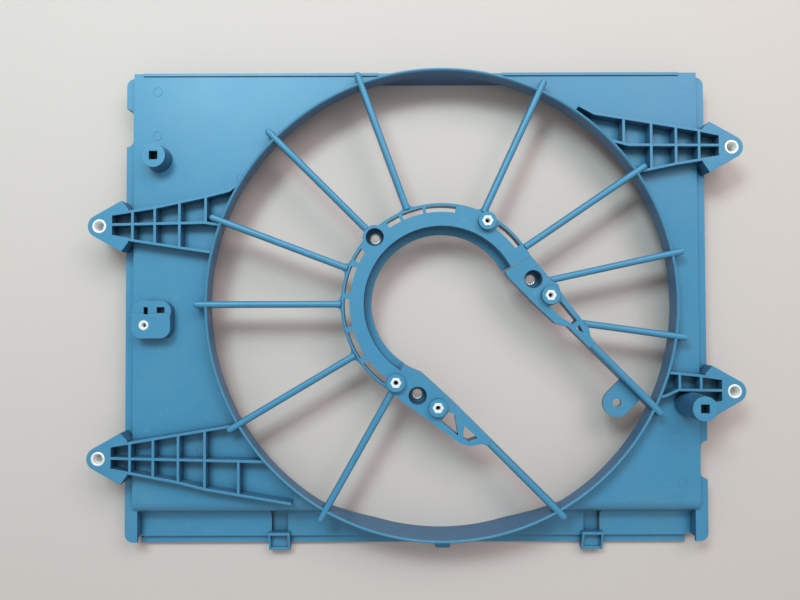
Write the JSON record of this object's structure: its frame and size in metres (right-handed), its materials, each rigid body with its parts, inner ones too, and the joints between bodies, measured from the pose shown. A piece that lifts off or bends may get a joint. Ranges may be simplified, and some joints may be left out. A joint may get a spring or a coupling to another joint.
{
  "type": "radiator fan shroud",
  "caption": "Flat rectangular fan shroud with a round fan ring, radial spokes, an open C-shaped motor mount on two arms, ribbed bolt ears and a sunk lower channel.",
  "frame": {"origin": "on the fan axis, in the face of the seat that the fan motor is bolted to, 15 mm above the radiator plane", "axes": "+Z away from the radiator along the fan axis, +Y towards the straight top edge, +X along the shroud's width"},
  "size_m": [0.463, 0.3465, 0.046],
  "materials": {
    "shroud_plastic": "semi-gloss moulded plastic with a fine grain",
    "limiter_steel": "bright plated steel, turned",
    "insert_metal": "bright plated metal, turned"
  },
  "bodies": {
    "root": {"arm_beam_lower": "shroud_plastic", "arm_beam_upper": "shroud_plastic", "arm_plate_lower": "shroud_plastic", "arm_plate_upper": "shroud_plastic", "bottom_lip": "shroud_plastic", "bracket_insert": "insert_metal", "cable_tab": "shroud_plastic", "channel_left": "shroud_plastic", "channel_right": "shroud_plastic", "connector_bracket": "shroud_plastic", "ear_limiter_lower_left": "limiter_steel", "ear_limiter_lower_right": "limiter_steel", "ear_limiter_upper_left": "limiter_steel", "ear_limiter_upper_right": "limiter_steel", "ear_lower_left": "shroud_plastic", "ear_lower_right": "shroud_plastic", "ear_ribs_lower_left": "shroud_plastic", "ear_ribs_lower_right": "shroud_plastic", "ear_ribs_upper_left": "shroud_plastic", "ear_ribs_upper_right": "shroud_plastic", "ear_upper_left": "shroud_plastic", "ear_upper_right": "shroud_plastic", "fan_ring": "shroud_plastic", "hub_flange": "shroud_plastic", "hub_insert_bottom": "insert_metal", "hub_insert_left": "insert_metal", "hub_insert_right": "insert_metal", "hub_insert_top": "insert_metal", "locating_tab": "shroud_plastic", "motor_limiter_1": "limiter_steel", "motor_limiter_2": "limiter_steel", "motor_limiter_3": "limiter_steel", "motor_mount": "shroud_plastic", "panel_left": "shroud_plastic", "panel_right": "shroud_plastic", "post_lower_right": "shroud_plastic", "post_upper_left": "shroud_plastic", "side_rail_left": "shroud_plastic", "side_rail_right": "shroud_plastic", "skirt_left": "shroud_plastic", "skirt_right": "shroud_plastic", "snap_clip_left": "shroud_plastic", "snap_clip_right": "shroud_plastic", "spoke_01": "shroud_plastic", "spoke_02": "shroud_plastic", "spoke_03": "shroud_plastic", "spoke_04": "shroud_plastic", "spoke_05": "shroud_plastic", "spoke_06": "shroud_plastic", "spoke_07": "shroud_plastic", "spoke_08": "shroud_plastic", "spoke_09": "shroud_plastic", "spoke_10": "shroud_plastic", "top_wall_centre": "shroud_plastic", "top_wall_left": "shroud_plastic", "top_wall_right": "shroud_plastic"}
  },
  "joints": []
}
